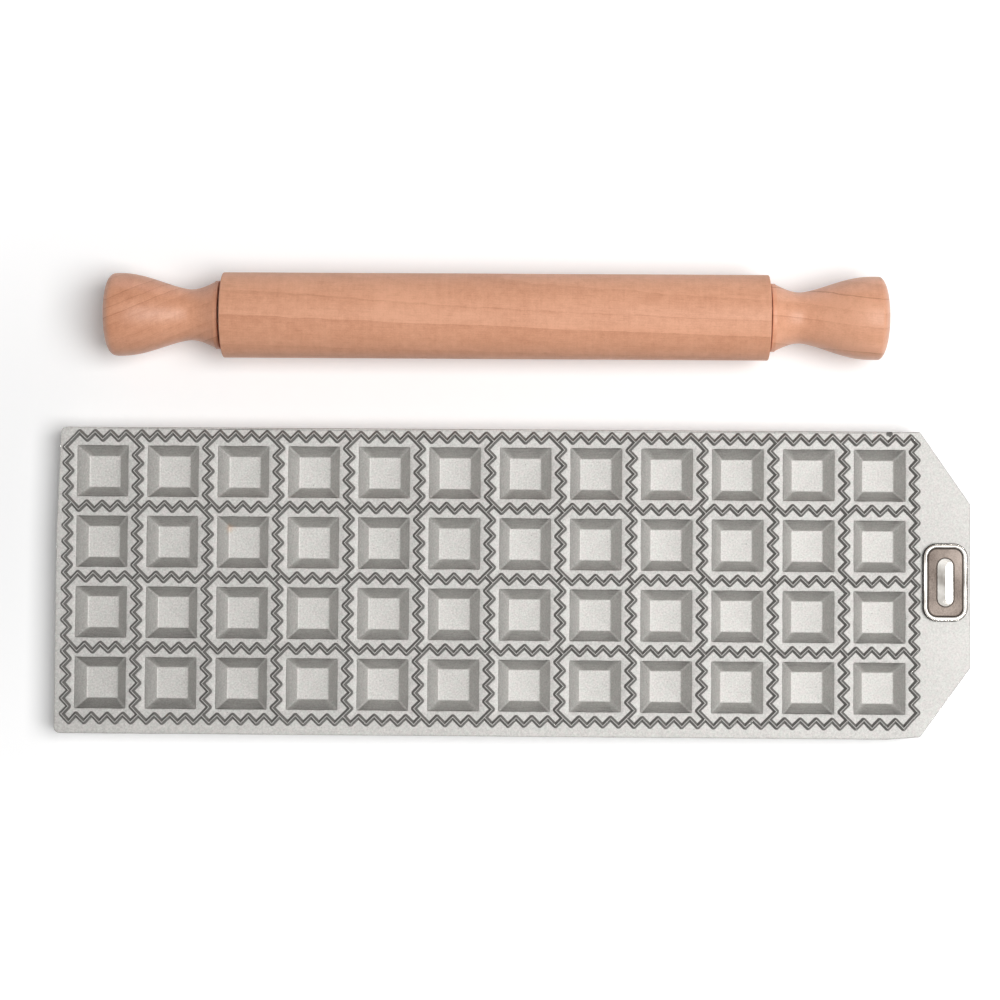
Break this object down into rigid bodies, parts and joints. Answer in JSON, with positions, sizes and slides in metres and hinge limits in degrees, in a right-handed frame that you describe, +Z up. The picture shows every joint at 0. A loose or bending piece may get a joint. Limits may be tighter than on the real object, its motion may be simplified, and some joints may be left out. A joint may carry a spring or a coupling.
{
  "type": "ravioli mould",
  "caption": "Cast metal ravioli mould with square cups, zigzag cutting ridges and a chamfered tab, with its wooden rolling pin lying behind it.",
  "frame": {"origin": "under the middle of the set's box, on the surface that the feet and the rolling pin lie on", "axes": "+X along the mould towards its tab, +Y from the mould to the rolling pin, +Z up out of the cups"},
  "size_m": [0.3878, 0.196, 0.0362],
  "materials": {
    "cast_aluminium": "cast, tumbled to a fine satin",
    "polished_nickel": "polished, darkened field",
    "spring_steel": "plain",
    "foot_rubber": "matt",
    "beech": "turned and sanded, unvarnished",
    "axle_steel": "drawn bar",
    "bushing_nylon": "moulded"
  },
  "bodies": {
    "mould": {"mould_plate": "cast_aluminium", "badge": "polished_nickel", "badge_clip_back": "spring_steel", "badge_clip_front": "spring_steel", "foot_back_left": "foot_rubber", "foot_back_right": "foot_rubber", "foot_front_left": "foot_rubber", "foot_front_right": "foot_rubber"},
    "rolling_pin": {"pin_axle": "axle_steel", "pin_handle_left": "beech", "pin_handle_right": "beech"},
    "barrel": {"pin_barrel": "beech", "bushing_left": "bushing_nylon", "bushing_right": "bushing_nylon"}
  },
  "joints": [
    {"name": "pin_lift", "type": "slide", "parent": "mould", "child": "rolling_pin", "axis": [0, 0, 1], "range_m": [0, 0.08]},
    {"name": "barrel_spin", "type": "hinge", "parent": "rolling_pin", "child": "barrel", "pos_m": [-0.0076, 0.07995, 0.0181], "axis": [1, 0, 0], "continuous": true}
  ]
}
